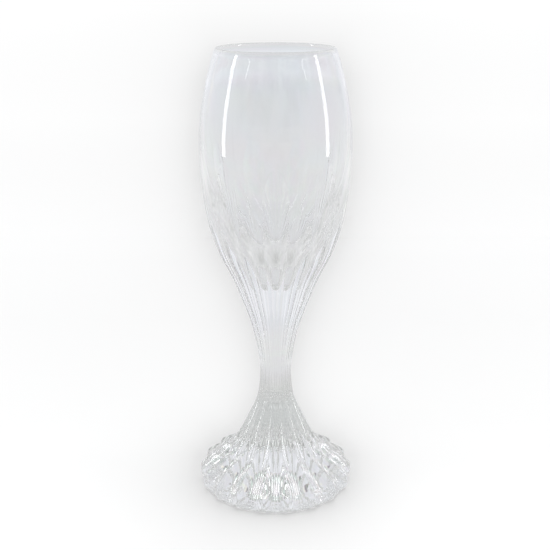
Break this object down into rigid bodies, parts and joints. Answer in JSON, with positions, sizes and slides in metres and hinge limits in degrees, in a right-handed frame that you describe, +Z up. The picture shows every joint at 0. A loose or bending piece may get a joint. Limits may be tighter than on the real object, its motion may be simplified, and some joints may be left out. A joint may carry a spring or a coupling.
{
  "type": "champagne flute",
  "caption": "Cut-crystal drinking flute with a tulip bowl, a slender fluted stem and a flared, fan-cut foot.",
  "frame": {"origin": "on the flute's axis, in the plane of the resting ring", "axes": "+Z up along the axis from the foot to the rim; the middle of one tall cut faces -Y"},
  "size_m": [0.0764, 0.0752, 0.215],
  "materials": {
    "crystal": "clear lead crystal, fire-polished rim, acid-polished cuts, ground resting ring"
  },
  "bodies": {
    "root": {"bowl": "crystal", "stem": "crystal", "foot": "crystal"}
  },
  "joints": []
}
